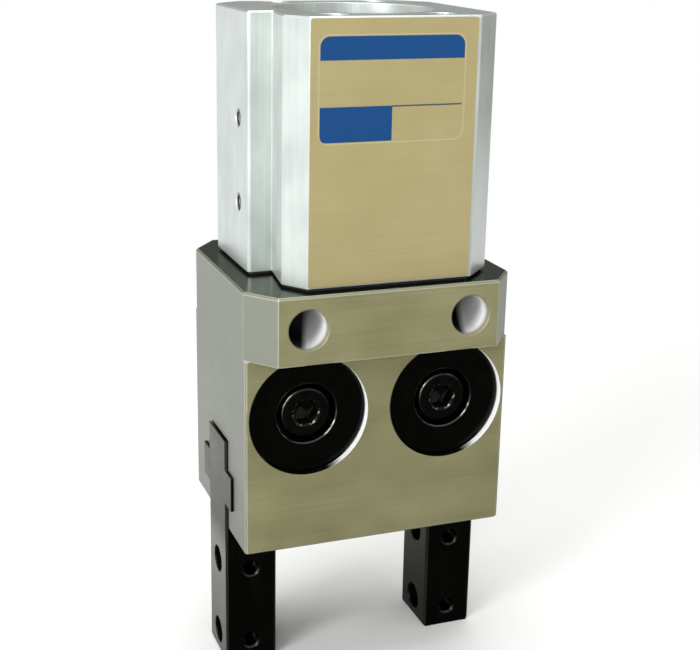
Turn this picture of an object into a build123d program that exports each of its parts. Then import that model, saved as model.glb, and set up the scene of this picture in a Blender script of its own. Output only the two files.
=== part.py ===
"""Two-jaw pneumatic gripper, driven by a piston rod with racks and two pinions.

Millimetres. +Z points from the finger tips up to the cylinder, the front face
looks along -Y, and the origin lies on the centre line at finger tip height.
The jaws stand at rest fully open, with the piston at the bottom of its stroke.
"""
import os
from math import acos, cos, pi, radians, sin, tan

from build123d import *

os.makedirs("parts", exist_ok=True)

# Motion
stroke = 12.0
stop_gap = 0.1

# Gripper body
body_width = 70.0
body_depth = 47.5
body_height = 51.1
flange_height = 17.1
flange_overhang = 6.6
flange_chamfer_x = 6.3
flange_chamfer_y = 8.0
body_edge = 0.5

# Mounting holes through the flange
mount_hole_diameter = 10.0
mount_hole_spacing = 42.2
mount_hole_drop = 8.4
mount_hole_edge = 0.3

# Racks and pinions
gear_module = 1.0
pinion_teeth = 24
pressure_angle = 20.0
tooth_backlash = 0.14
pinion_spacing = 37.0
pinion_height = 35.4
pinion_face_width = 16.0
pinion_end_gap = 0.1
gear_room = 0.5

# Jaws
finger_drop = 39.4
finger_thickness = 13.9
finger_depth = 16.0
finger_proud = 0.8
finger_edge = 0.6
slider_length = 21.8
rib_width = 26.4
rib_bottom = 7.3
rib_height = 9.2
slide_clearance = 0.1
slot_clearance = 0.4
finger_bore = 7.0
finger_bore_edge = 0.3
finger_bore_rise = 5.7
finger_bore_pitch = 21.4
finger_thread_core = 4.2
finger_thread_edge = 0.5

# Pinion shafts, washers, bushes and caps
shaft_diameter = 14.0
bush_wall = 2.0
washer_diameter = 20.0
washer_thickness = 1.0
cap_diameter = 31.0
cap_clearance = 0.05
cap_recess = 2.0
cap_face_edge = 0.5
cap_mouth_edge = 0.3
cap_web = 4.0
shaft_seat_front = 1.0
shaft_seat_rear = 10.0

# Cap screws M8
cap_screw_thread = 8.0
cap_screw_head = 13.0
cap_screw_head_height = 8.0
cap_screw_socket = 6.0
cap_screw_socket_depth = 4.0
cap_screw_length = 20.0
cap_counterbore = 15.5
cap_screw_hole = 8.4

# Piston rod with racks
rod_diameter = 14.0
rack_bar_depth = 16.0
rack_bar_room = 0.3
rack_bar_height = 23.0
rack_bar_dip = 15.9

# Rod bush, seal and cover
rod_fit = 0.03
rod_bush_wall = 2.0
rod_bush_sink = 0.7
cover_diameter = 42.0
cover_seat_height = 10.0
cover_height = 13.0
cover_rod_gap = 0.3
rod_seal_diameter = 20.0
rod_seal_height = 4.0
rod_seal_cover = 1.2
seal_gap = 0.02
o_ring_section = 1.8
groove_width = 2.4

# Cylinder tube
tube_width = 59.2
tube_depth = 54.7
tube_height = 63.3
tube_corner = 7.6
tube_bore = 40.0
tube_edge = 0.4
notch_width = 6.2
notch_mouth = 4.6
notch_depth = 19.1
notch_corner_x = 4.5
notch_corner_y = 6.3
notch_edge_round = 1.0
gasket_thickness = 0.8
gasket_inset = 0.7

# Air ports M5
port_core = 4.2
port_depth = 6.0
port_edge = 0.4
port_orifice = 2.5
port_low_rise = 16.2
port_high_rise = 37.2

# Tube screws M4
tube_screw_thread = 4.0
tube_screw_head = 7.0
tube_screw_head_height = 4.0
tube_screw_socket = 3.0
tube_screw_socket_depth = 2.2
tube_screw_hole = 4.5
tube_screw_counterbore = 8.0
tube_screw_sink = 1.0
tube_screw_grip = 9.0
tube_screw_spacing_x = 27.0
tube_screw_spacing_y = 44.4
tap_run_out = 1.5

# Piston
piston_clearance = 0.08
piston_relief = 2.0
piston_skirt = 4.6
piston_land = 5.4
piston_crown = 4.6
piston_groove_width = 3.4
piston_groove_depth = 2.6
piston_locating_depth = 1.0
piston_screw_hole = 8.4
piston_screw_counterbore = 13.6
piston_screw_counterbore_depth = 8.2
piston_screw_length = 22.0
magnet_height = 3.0
magnet_wall = 2.4

# Bumpers
bumper_outer = 30.0
bumper_inner = 21.0
bumper_thickness = 1.6
bumper_proud = 0.5

# End cap and retaining ring
ring_groove_drop = 3.8
ring_thickness = 1.75
ring_groove_width = 1.9
ring_groove_diameter = 42.5
ring_band = 3.2
ring_gap_angle = 38.0
ring_lug = 6.4
ring_lug_hole = 2.5
cap_hub = 10.5
cap_pocket = 30.0
cap_pocket_depth = 3.0
end_cap_clearance = 0.05

# Name plate
plate_width = 41.5
plate_shift = 0.3
plate_thickness = 0.4
plate_margin = 0.4
plate_corner = 0.8

# Levels, from the finger tips up
block_bottom = finger_drop
flange_bottom = block_bottom + body_height
flange_top = flange_bottom + flange_height
pinion_z = block_bottom + pinion_height
mount_hole_z = flange_top - mount_hole_drop
tube_bottom = flange_top + gasket_thickness
tube_top = tube_bottom + tube_height
pinion_x = pinion_spacing / 2

# Tooth sizes
pitch_radius = gear_module * pinion_teeth / 2
tooth_pitch = pi * gear_module
addendum = gear_module
dedendum = 1.25 * gear_module
tip_radius = pitch_radius + addendum
root_radius = pitch_radius - dedendum
gear_cavity_radius = tip_radius + gear_room

# Slider levels
rack_line = pinion_z - pitch_radius
slider_top = rack_line + addendum
slot_top = slider_top + gear_room
rib_low = block_bottom + rib_bottom
rib_high = rib_low + rib_height
jaw_outer = body_width / 2 + finger_proud
jaw_inner = jaw_outer - slider_length
finger_inner = jaw_outer - finger_thickness

# Pinion stack along Y
front_face = -body_depth / 2
gear_side = pinion_face_width / 2
stack_side = gear_side + washer_thickness + 2 * pinion_end_gap
cap_front = front_face + cap_recess
cap_back = -stack_side
counterbore_floor = cap_back - cap_web
shaft_front = cap_back - shaft_seat_front
shaft_back = stack_side + shaft_seat_rear

# Rod levels
rod_half = pinion_x - pitch_radius + addendum
rack_bar_bottom = pinion_z - rack_bar_dip
rack_bar_top = rack_bar_bottom + rack_bar_height
pocket_top = rack_bar_top + stroke + gear_room
bush_radius = rod_diameter / 2 + rod_bush_wall
rod_bush_top = flange_top - rod_bush_sink

# Cylinder levels
chamber_bottom = tube_bottom + cover_height
piston_bottom = chamber_bottom + bumper_proud + stop_gap
land_bottom = piston_bottom + piston_skirt
land_top = land_bottom + piston_land
piston_top = land_top + piston_crown
chamber_top = piston_top + stroke + stop_gap + bumper_proud
ring_groove_bottom = tube_top - ring_groove_drop - ring_groove_width
ring_bottom = tube_top - ring_groove_drop - ring_thickness
rod_top = piston_bottom + piston_locating_depth
piston_screw_floor = piston_top - piston_screw_counterbore_depth
piston_screw_end = piston_screw_floor - piston_screw_length
piston_radius = tube_bore / 2 - piston_clearance

left_right = ((-1, "left"), (1, "right"))
tube_screw_places = [
    (x * tube_screw_spacing_x / 2, y * tube_screw_spacing_y / 2) for x in (-1, 1) for y in (-1, 1)
]


# Involute function, used to place the points of a tooth flank
def involute(angle):
    return tan(angle) - angle


# Corner points of a pinion, tooth by tooth, with one tooth on the +X axis
def pinion_points():
    base_radius = pitch_radius * cos(radians(pressure_angle))
    half_tooth = pi / (2 * pinion_teeth) - tooth_backlash / (4 * pitch_radius)
    steps = 5
    flank = [(root_radius, half_tooth + involute(radians(pressure_angle)))]
    for step in range(steps):
        radius = base_radius + (tip_radius - base_radius) * step / (steps - 1)
        roll = acos(base_radius / radius)
        flank.append((radius, half_tooth + involute(radians(pressure_angle)) - involute(roll)))
    points = []
    for tooth in range(pinion_teeth):
        centre = 2 * pi * tooth / pinion_teeth
        rising = [(radius, centre - angle) for radius, angle in flank]
        falling = [(radius, centre + angle) for radius, angle in reversed(flank)]
        points += [(radius * cos(angle), radius * sin(angle)) for radius, angle in rising + falling]
    return points


# Corner points (along, out) of a rack whose tooth space is centred on gap_place
def rack_points(start, end, gap_place):
    tooth_tip = tooth_pitch / 4 - addendum * tan(radians(pressure_angle)) - tooth_backlash / 4
    tooth_foot = tooth_pitch / 4 + dedendum * tan(radians(pressure_angle)) - tooth_backlash / 4
    first = round((start - gap_place) / tooth_pitch)
    last = round((end - gap_place) / tooth_pitch)
    points = []
    for number in range(first, last):
        centre = gap_place + (number + 0.5) * tooth_pitch
        if centre - tooth_foot > start and centre + tooth_foot < end:
            points += [
                (centre - tooth_foot, -dedendum),
                (centre - tooth_tip, addendum),
                (centre + tooth_tip, addendum),
                (centre + tooth_foot, -dedendum),
            ]
    return points


# Ring between two diameters, standing on a level; no inner diameter makes a disc
def ring(outer, inner, bottom, height):
    with BuildPart() as piece:
        with BuildSketch(Plane.XY.offset(bottom)):
            Circle(outer / 2)
            if inner > 0:
                Circle(inner / 2, mode=Mode.SUBTRACT)
        extrude(amount=height)
    return piece.part


# O-ring lying flat around the centre line
def o_ring(middle_diameter, level, section):
    with BuildPart() as piece:
        with BuildSketch(Plane.XZ):
            with Locations((middle_diameter / 2, level)):
                Circle(section / 2)
        revolve(axis=Axis.Z)
    return piece.part


# Socket head screw at the plane of its thread end, with the head along the plane's normal
def socket_screw(plane, thread, length, head, head_height, socket, socket_depth):
    with BuildPart() as piece:
        with BuildSketch(plane):
            Circle(thread / 2)
        extrude(amount=length)
        with BuildSketch(plane.offset(length)):
            Circle(head / 2)
        extrude(amount=head_height)
        fillet(piece.faces().sort_by(Axis(plane.origin, plane.z_dir))[-1].edges(), head * 0.04)
        with BuildSketch(plane.offset(length + head_height)):
            RegularPolygon(socket / 2, 6, major_radius=False)
        extrude(amount=-socket_depth, mode=Mode.SUBTRACT)
    return piece.part


# Gripper body
with BuildPart() as gripper_body:
    with BuildSketch(Plane.XY.offset(block_bottom)):
        Rectangle(body_width, body_depth)
    extrude(amount=body_height)
    with BuildSketch(Plane.XY.offset(flange_bottom)):
        half_width = body_width / 2
        half_depth = body_depth / 2 + flange_overhang
        with BuildLine():
            corner = [
                (half_width, half_depth - flange_chamfer_y),
                (half_width - flange_chamfer_x, half_depth),
            ]
            Polyline(
                *corner,
                *[(-x, y) for x, y in reversed(corner)],
                *[(-x, -y) for x, y in corner],
                *[(x, -y) for x, y in reversed(corner)],
                close=True,
            )
        make_face()
    extrude(amount=flange_height)
    outer_edges = gripper_body.edges().filter_by(Axis.Z)
    chamfer(outer_edges.filter_by(lambda e: e.center().Z < flange_bottom), body_edge)
    chamfer(gripper_body.faces().sort_by(Axis.Z)[-1].edges(), body_edge)
    chamfer(gripper_body.faces().sort_by(Axis.Z)[0].edges(), body_edge)
    # Slot for the sliders, open at the bottom and at both sides
    slot_levels = (
        (block_bottom - 1, slot_top, finger_depth + 2 * slot_clearance),
        (rib_low - slide_clearance, rib_high + slide_clearance, rib_width + 2 * slide_clearance),
    )
    for low, high, width in slot_levels:
        with BuildSketch(Plane.XY.offset(low)):
            Rectangle(body_width + 2, width)
        extrude(amount=high - low, mode=Mode.SUBTRACT)
    # Pocket for the rack bar and bore for the rod bush
    with BuildSketch(Plane.XY.offset(slot_top - 1)):
        Rectangle(2 * (rod_half + rack_bar_room), rack_bar_depth + 2 * rack_bar_room)
    extrude(amount=pocket_top - slot_top + 1, mode=Mode.SUBTRACT)
    with BuildSketch(Plane.XY.offset(pocket_top)):
        Circle(bush_radius)
    extrude(amount=flange_top - pocket_top, mode=Mode.SUBTRACT)
    # Cap bores, pinion rooms and shaft seats, all from the front
    bores = (
        (front_face, cap_back, cap_diameter / 2),
        (cap_back, stack_side, gear_cavity_radius),
        (stack_side, shaft_back, shaft_diameter / 2),
    )
    for near, far, radius in bores:
        with BuildSketch(Plane.XZ.offset(-near)):
            with Locations((-pinion_x, pinion_z), (pinion_x, pinion_z)):
                Circle(radius)
        extrude(amount=-(far - near), mode=Mode.SUBTRACT)
    # Mounting holes
    with BuildSketch(Plane.XZ.offset(half_depth)):
        with Locations((-mount_hole_spacing / 2, mount_hole_z), (mount_hole_spacing / 2, mount_hole_z)):
            Circle(mount_hole_diameter / 2)
    extrude(amount=-2 * half_depth, mode=Mode.SUBTRACT)
    hole_edges = gripper_body.edges().filter_by(GeomType.CIRCLE)
    hole_edges = hole_edges.filter_by(lambda e: abs(e.radius - mount_hole_diameter / 2) < 0.01)
    chamfer(hole_edges.filter_by(lambda e: abs(e.center().Z - mount_hole_z) < 0.01), mount_hole_edge)
    # Threads for the tube screws
    with BuildSketch(Plane.XY.offset(flange_top)):
        with Locations(*tube_screw_places):
            Circle(tube_screw_thread / 2)
    extrude(amount=-(tube_screw_grip + tap_run_out), mode=Mode.SUBTRACT)
gripper_body.part.label = "gripper_body"
export_step(gripper_body.part, "parts/gripper_body.step")

# Jaws, each a slider with a rack, guide ribs and a finger
for side, word in left_right:
    with BuildPart() as jaw:
        with BuildSketch(Plane.XZ.offset(-finger_depth / 2)):
            # The rack runs past both ends of the slider and is then cut off with it
            rack_start = jaw_inner - 2 * tooth_pitch
            rack_end = jaw_outer + 2 * tooth_pitch
            with BuildLine():
                teeth = rack_points(rack_start, rack_end, pinion_x)
                outline = [
                    (rack_start, rib_low),
                    (rack_start, rack_line - dedendum),
                    *[(x, rack_line + y) for x, y in teeth],
                    (rack_end, rack_line - dedendum),
                    (rack_end, 0),
                    (finger_inner, 0),
                    (finger_inner, rib_low),
                ]
                Polyline(*[(side * x, z) for x, z in outline], close=True)
            make_face()
            with Locations((side * (jaw_inner + jaw_outer) / 2, slider_top / 2)):
                Rectangle(slider_length, slider_top, mode=Mode.INTERSECT)
        extrude(amount=finger_depth)
        tips = jaw.edges().filter_by(Axis.Y).filter_by(lambda e: e.center().Z < 0.01)
        outer_upright = jaw.edges().filter_by(Axis.Z).filter_by(lambda e: e.length > finger_drop)
        chamfer(tips + outer_upright, finger_edge)
        with BuildSketch(Plane.XY.offset(rib_low)):
            with Locations((side * (jaw_inner + jaw_outer) / 2, 0)):
                Rectangle(slider_length, rib_width)
        extrude(amount=rib_height)
        # Tool bores through the finger, and threads from the front into them
        for rise in (finger_bore_rise, finger_bore_rise + finger_bore_pitch):
            with BuildSketch(Plane.YZ.offset(side * finger_inner - side)):
                with Locations((0, rise)):
                    Circle(finger_bore / 2)
            extrude(amount=side * (finger_thickness + 2), mode=Mode.SUBTRACT)
            with BuildSketch(Plane.XZ.offset(finger_depth / 2)):
                with Locations((side * (finger_inner + finger_thickness / 2), rise)):
                    Circle(finger_thread_core / 2)
            extrude(amount=-finger_depth / 2, mode=Mode.SUBTRACT)
        # Edges of these holes where they meet the flat faces
        mouths = jaw.edges().filter_by(GeomType.CIRCLE)
        chamfer(mouths.filter_by(lambda e: e.center().Y < 0.01 - finger_depth / 2), finger_thread_edge)
        chamfer(
            jaw.edges().filter_by(GeomType.CIRCLE).filter_by(
                lambda e: abs(e.radius - finger_bore / 2) < 0.01
                and min(abs(abs(e.center().X) - x) for x in (jaw_outer, finger_inner)) < 0.01
            ),
            finger_bore_edge,
        )
    jaw.part.label = f"{word}_jaw"
    export_step(jaw.part, f"parts/{word}_jaw.step")

# Pinions with their bushes, shafts, washers, caps and cap screws
bush_outer = shaft_diameter + 2 * bush_wall
for side, word in left_right:
    place = (side * pinion_x, pinion_z)
    with BuildPart() as pinion:
        with BuildSketch(Plane.XZ.offset(-gear_side)):
            with BuildLine():
                Polyline(*[(place[0] + x, place[1] + y) for x, y in pinion_points()], close=True)
            make_face()
            with Locations(place):
                Circle(bush_outer / 2, mode=Mode.SUBTRACT)
        extrude(amount=pinion_face_width)
    pinion.part.label = f"{word}_pinion"
    export_step(pinion.part, f"parts/{word}_pinion.step")

    with BuildPart() as bush:
        with BuildSketch(Plane.XZ.offset(-gear_side)):
            with Locations(place):
                Circle(bush_outer / 2)
                Circle(shaft_diameter / 2 + rod_fit, mode=Mode.SUBTRACT)
        extrude(amount=pinion_face_width)
    bush.part.label = f"{word}_pinion_bush"
    export_step(bush.part, f"parts/{word}_pinion_bush.step")

    with BuildPart() as washers:
        for near in (-stack_side, gear_side + 2 * pinion_end_gap):
            with BuildSketch(Plane.XZ.offset(-near)):
                with Locations(place):
                    Circle(washer_diameter / 2)
                    Circle(shaft_diameter / 2, mode=Mode.SUBTRACT)
            extrude(amount=-washer_thickness)
    washers.part.label = f"{word}_thrust_washers"
    export_step(washers.part, f"parts/{word}_thrust_washers.step")

    with BuildPart() as shaft:
        with BuildSketch(Plane.XZ.offset(-shaft_back)):
            with Locations(place):
                Circle(shaft_diameter / 2)
        extrude(amount=shaft_back - shaft_front)
        with BuildSketch(Plane.XZ.offset(-shaft_front)):
            with Locations(place):
                Circle(cap_screw_thread / 2)
        thread_reach = counterbore_floor + cap_screw_length - shaft_front
        extrude(amount=-(thread_reach + tap_run_out), mode=Mode.SUBTRACT)
    shaft.part.label = f"{word}_pinion_shaft"
    export_step(shaft.part, f"parts/{word}_pinion_shaft.step")

    with BuildPart() as cap:
        with BuildSketch(Plane.XZ.offset(-cap_back)):
            with Locations(place):
                Circle(cap_diameter / 2 - cap_clearance)
        extrude(amount=cap_back - cap_front)
        chamfer(cap.faces().sort_by(Axis.Y)[0].edges(), cap_face_edge)
        cap_cuts = (
            (cap_front, counterbore_floor, cap_counterbore),
            (counterbore_floor, shaft_front, cap_screw_hole),
            (shaft_front, cap_back, shaft_diameter),
        )
        for near, far, diameter in cap_cuts:
            with BuildSketch(Plane.XZ.offset(-near)):
                with Locations(place):
                    Circle(diameter / 2)
            extrude(amount=-(far - near), mode=Mode.SUBTRACT)
        mouth = cap.faces().sort_by(Axis.Y)[0].inner_wires().edges()
        chamfer(mouth, cap_mouth_edge)
    cap.part.label = f"{word}_pinion_cap"
    export_step(cap.part, f"parts/{word}_pinion_cap.step")

    screw_plane = Plane(
        origin=(place[0], counterbore_floor + cap_screw_length, place[1]), x_dir=(1, 0, 0), z_dir=(0, -1, 0)
    )
    screw = socket_screw(
        screw_plane,
        cap_screw_thread,
        cap_screw_length,
        cap_screw_head,
        cap_screw_head_height,
        cap_screw_socket,
        cap_screw_socket_depth,
    )
    screw.label = f"{word}_cap_screw"
    export_step(screw, f"parts/{word}_cap_screw.step")

# Piston rod, a round rod above and a bar with racks on both sides below
with BuildPart() as piston_rod:
    with BuildSketch(Plane.XZ.offset(-rack_bar_depth / 2)):
        with BuildLine():
            teeth = rack_points(rack_bar_bottom, rack_bar_top, pinion_z)
            rack_x = pinion_x - pitch_radius
            right_side = [
                (rack_x - dedendum, rack_bar_bottom),
                *[(rack_x + out, z) for z, out in teeth],
                (rack_x - dedendum, rack_bar_top),
            ]
            left_side = [(-x, z) for x, z in reversed(right_side)]
            Polyline(*right_side, *left_side, close=True)
        make_face()
    extrude(amount=rack_bar_depth)
    with BuildSketch(Plane.XY.offset(rack_bar_top)):
        Circle(rod_diameter / 2)
    extrude(amount=rod_top - rack_bar_top)
    with BuildSketch(Plane.XY.offset(rod_top)):
        Circle(cap_screw_thread / 2)
    extrude(amount=piston_screw_end - tap_run_out - rod_top, mode=Mode.SUBTRACT)
piston_rod.part.label = "piston_rod"
export_step(piston_rod.part, "parts/piston_rod.step")

# Rod bush, pressed into the body under the cylinder
rod_bush = ring(2 * bush_radius, rod_diameter + 2 * rod_fit, pocket_top, rod_bush_top - pocket_top)
rod_bush.label = "rod_bush"
export_step(rod_bush, "parts/rod_bush.step")


# Outline of the cylinder tube in plan, with four cut corners and the notch at the front left
def tube_outline(inset):
    x = tube_width / 2 - inset
    y = tube_depth / 2 - inset
    step_x = notch_width - x
    step_y = notch_depth - tube_depth / 2 + inset
    mouth_x = notch_mouth - x
    with BuildSketch() as outline:
        with BuildLine():
            Polyline(
                (mouth_x, notch_corner_y - y),
                (mouth_x + notch_corner_x, -y),
                (x - tube_corner, -y),
                (x, tube_corner - y),
                (x, y - tube_corner),
                (x - tube_corner, y),
                (tube_corner - x, y),
                (-x, y - tube_corner),
                (-x, step_y),
                (step_x, step_y),
                close=True,
            )
        make_face()
        outer_corner = outline.vertices().filter_by(lambda v: v.X < 0.01 - x and abs(v.Y - step_y) < 0.01)
        fillet(outer_corner, notch_edge_round)
    return outline.sketch


# Gasket between the body and the cylinder
gasket_outline = tube_outline(gasket_inset)
with BuildPart() as body_gasket:
    with BuildSketch(Plane.XY.offset(flange_top)):
        add(gasket_outline)
        Circle(bush_radius, mode=Mode.SUBTRACT)
        with Locations(*tube_screw_places):
            Circle(tube_screw_hole / 2, mode=Mode.SUBTRACT)
    extrude(amount=gasket_thickness)
body_gasket.part.label = "body_gasket"
export_step(body_gasket.part, "parts/body_gasket.step")

# Cylinder tube
tube_plan = tube_outline(0)
with BuildPart() as cylinder_tube:
    with BuildSketch(Plane.XY.offset(tube_bottom)):
        add(tube_plan)
    extrude(amount=tube_height)
    chamfer(cylinder_tube.faces().sort_by(Axis.Z)[-1].edges(), tube_edge)
    tube_bores = (
        (tube_bottom, tube_height, tube_bore / 2),
        (tube_bottom, cover_seat_height, cover_diameter / 2),
        (ring_groove_bottom, ring_groove_width, ring_groove_diameter / 2),
    )
    for low, height, radius in tube_bores:
        with BuildSketch(Plane.XY.offset(low)):
            Circle(radius)
        extrude(amount=height, mode=Mode.SUBTRACT)
    with BuildSketch(Plane.XY.offset(tube_bottom)):
        with Locations(*tube_screw_places):
            Circle(tube_screw_hole / 2)
    extrude(amount=tube_height, mode=Mode.SUBTRACT)
    with BuildSketch(Plane.XY.offset(tube_top)):
        with Locations(*tube_screw_places):
            Circle(tube_screw_counterbore / 2)
    extrude(amount=-(tube_screw_head_height + tube_screw_sink), mode=Mode.SUBTRACT)
    for rise in (port_low_rise, port_high_rise):
        with BuildSketch(Plane.YZ.offset(-tube_width / 2)):
            with Locations((0, tube_bottom + rise)):
                Circle(port_core / 2)
        extrude(amount=port_depth, mode=Mode.SUBTRACT)
        with BuildSketch(Plane.YZ.offset(-tube_width / 2)):
            with Locations((0, tube_bottom + rise)):
                Circle(port_orifice / 2)
        extrude(amount=tube_width / 2 - tube_bore / 4, mode=Mode.SUBTRACT)
    port_edges = cylinder_tube.edges().filter_by(GeomType.CIRCLE)
    chamfer(port_edges.filter_by(lambda e: e.center().X < -tube_width / 2 + 0.01), port_edge)
cylinder_tube.part.label = "cylinder_tube"
export_step(cylinder_tube.part, "parts/cylinder_tube.step")

# Screws that hold the tube on the body
screw_length = tube_height - tube_screw_head_height - tube_screw_sink + gasket_thickness + tube_screw_grip
long_screws = [
    socket_screw(
        Plane(origin=(x, y, flange_top - tube_screw_grip)),
        tube_screw_thread,
        screw_length,
        tube_screw_head,
        tube_screw_head_height,
        tube_screw_socket,
        tube_screw_socket_depth,
    )
    for x, y in tube_screw_places
]
with BuildPart() as tube_screws:
    add(long_screws)
tube_screws.part.label = "tube_screws"
export_step(tube_screws.part, "parts/tube_screws.step")

# Rod cover at the bottom of the bore
seal_low = chamber_bottom - bumper_thickness - rod_seal_height - rod_seal_cover
cover_ring_level = tube_bottom + cover_seat_height / 2
with BuildPart() as rod_cover:
    with BuildSketch(Plane.XY.offset(tube_bottom)):
        Circle(cover_diameter / 2 - end_cap_clearance)
    extrude(amount=cover_seat_height)
    with BuildSketch(Plane.XY.offset(tube_bottom)):
        Circle(tube_bore / 2 - end_cap_clearance)
    extrude(amount=cover_height)
    cover_cuts = (
        (tube_bottom, cover_height, rod_diameter + 2 * cover_rod_gap),
        (seal_low, rod_seal_height, rod_seal_diameter),
        (chamber_bottom + bumper_proud - bumper_thickness, bumper_thickness, bumper_outer),
    )
    for low, height, diameter in cover_cuts:
        with BuildSketch(Plane.XY.offset(low)):
            Circle(diameter / 2)
        extrude(amount=height, mode=Mode.SUBTRACT)
    with BuildSketch(Plane.XY.offset(cover_ring_level - groove_width / 2)):
        Circle(cover_diameter / 2)
        Circle(cover_diameter / 2 - o_ring_section - seal_gap, mode=Mode.SUBTRACT)
    extrude(amount=groove_width, mode=Mode.SUBTRACT)
rod_cover.part.label = "rod_cover"
export_step(rod_cover.part, "parts/rod_cover.step")

cover_o_ring = o_ring(cover_diameter - o_ring_section - seal_gap, cover_ring_level, o_ring_section)
cover_o_ring.label = "cover_o_ring"
export_step(cover_o_ring, "parts/cover_o_ring.step")

rod_seal = ring(rod_seal_diameter, rod_diameter + 2 * seal_gap, seal_low, rod_seal_height)
rod_seal.label = "rod_seal"
export_step(rod_seal, "parts/rod_seal.step")

# Bumpers that stop the piston at both ends
lower_bumper_level = chamber_bottom + bumper_proud - bumper_thickness
lower_bumper = ring(bumper_outer, bumper_inner, lower_bumper_level, bumper_thickness)
lower_bumper.label = "lower_bumper"
export_step(lower_bumper, "parts/lower_bumper.step")

upper_bumper = ring(bumper_outer, bumper_inner, chamber_top - bumper_proud, bumper_thickness)
upper_bumper.label = "upper_bumper"
export_step(upper_bumper, "parts/upper_bumper.step")

# Piston
skirt_radius = piston_radius - piston_relief
groove_low = (land_bottom + land_top - piston_groove_width) / 2
magnet_low = piston_bottom + (piston_skirt - magnet_height) / 2
with BuildPart() as piston:
    with BuildSketch(Plane.XY.offset(piston_bottom)):
        Circle(skirt_radius)
    extrude(amount=piston_top - piston_bottom)
    with BuildSketch(Plane.XY.offset(land_bottom)):
        Circle(piston_radius)
    extrude(amount=piston_land)
    grooves = (
        (groove_low, piston_groove_width, piston_radius, piston_radius - piston_groove_depth),
        (magnet_low, magnet_height, skirt_radius, skirt_radius - magnet_wall),
    )
    for low, height, outer, inner in grooves:
        with BuildSketch(Plane.XY.offset(low)):
            Circle(outer)
            Circle(inner, mode=Mode.SUBTRACT)
        extrude(amount=height, mode=Mode.SUBTRACT)
    piston_cuts = (
        (piston_bottom, piston_locating_depth, rod_diameter),
        (rod_top, piston_screw_floor - rod_top, piston_screw_hole),
        (piston_screw_floor, piston_screw_counterbore_depth, piston_screw_counterbore),
    )
    for low, height, diameter in piston_cuts:
        with BuildSketch(Plane.XY.offset(low)):
            Circle(diameter / 2)
        extrude(amount=height, mode=Mode.SUBTRACT)
piston.part.label = "piston"
export_step(piston.part, "parts/piston.step")

piston_magnet = ring(2 * skirt_radius, 2 * (skirt_radius - magnet_wall), magnet_low, magnet_height)
piston_magnet.label = "piston_magnet"
export_step(piston_magnet, "parts/piston_magnet.step")

piston_seal = ring(
    tube_bore - 2 * seal_gap, 2 * (piston_radius - piston_groove_depth), groove_low, piston_groove_width
)
piston_seal.label = "piston_seal"
export_step(piston_seal, "parts/piston_seal.step")

piston_screw = socket_screw(
    Plane.XY.offset(piston_screw_end),
    cap_screw_thread,
    piston_screw_length,
    cap_screw_head,
    cap_screw_head_height,
    cap_screw_socket,
    cap_screw_socket_depth,
)
piston_screw.label = "piston_screw"
export_step(piston_screw, "parts/piston_screw.step")

# End cap in the top of the bore
cap_ring_level = chamber_top + (ring_bottom - cap_pocket_depth - chamber_top) / 2
with BuildPart() as end_cap:
    with BuildSketch(Plane.XY.offset(chamber_top)):
        Circle(tube_bore / 2 - end_cap_clearance)
    extrude(amount=ring_bottom - chamber_top)
    with BuildSketch(Plane.XY.offset(ring_bottom)):
        Circle(cap_pocket / 2)
        Circle(cap_hub / 2, mode=Mode.SUBTRACT)
    extrude(amount=-cap_pocket_depth, mode=Mode.SUBTRACT)
    with BuildSketch(Plane.XY.offset(cap_ring_level - groove_width / 2)):
        Circle(tube_bore / 2)
        Circle(tube_bore / 2 - o_ring_section - seal_gap, mode=Mode.SUBTRACT)
    extrude(amount=groove_width, mode=Mode.SUBTRACT)
    with BuildSketch(Plane.XY.offset(chamber_top - bumper_proud)):
        Circle(bumper_outer / 2)
    extrude(amount=bumper_thickness, mode=Mode.SUBTRACT)
end_cap.part.label = "end_cap"
export_step(end_cap.part, "parts/end_cap.step")

end_cap_o_ring = o_ring(tube_bore - o_ring_section - seal_gap, cap_ring_level, o_ring_section)
end_cap_o_ring.label = "end_cap_o_ring"
export_step(end_cap_o_ring, "parts/end_cap_o_ring.step")

# Retaining ring with two plier holes, open towards the side of the air ports
with BuildPart() as retaining_ring:
    ring_radius = ring_groove_diameter / 2
    lug_radius = tube_bore / 2 - end_cap_clearance - ring_lug / 2
    half_gap = radians(ring_gap_angle / 2)
    lug_places = [(-lug_radius * cos(half_gap), y * lug_radius * sin(half_gap)) for y in (-1, 1)]
    opening_y = lug_radius * sin(half_gap)
    with BuildSketch(Plane.XY.offset(ring_bottom)):
        Circle(ring_radius)
        Circle(ring_radius - ring_band, mode=Mode.SUBTRACT)
        with BuildLine():
            Polyline((-ring_radius - 1, -opening_y), (0, 0), (-ring_radius - 1, opening_y), close=True)
        make_face(mode=Mode.SUBTRACT)
        with Locations(*lug_places):
            Circle(ring_lug / 2)
            Circle(ring_lug_hole / 2, mode=Mode.SUBTRACT)
    extrude(amount=ring_thickness)
retaining_ring.part.label = "retaining_ring"
export_step(retaining_ring.part, "parts/retaining_ring.step")

# Name plate on the front of the tube
with BuildPart() as name_plate:
    with BuildSketch(Plane.XZ.offset(tube_depth / 2)):
        with Locations((plate_shift, (tube_bottom + tube_top) / 2)):
            RectangleRounded(plate_width, tube_height - 2 * plate_margin, plate_corner)
    extrude(amount=plate_thickness)
name_plate.part.label = "name_plate"
export_step(name_plate.part, "parts/name_plate.step")
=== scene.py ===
import math

import bmesh
import bpy
import numpy as np
from mathutils import Matrix, Vector


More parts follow.
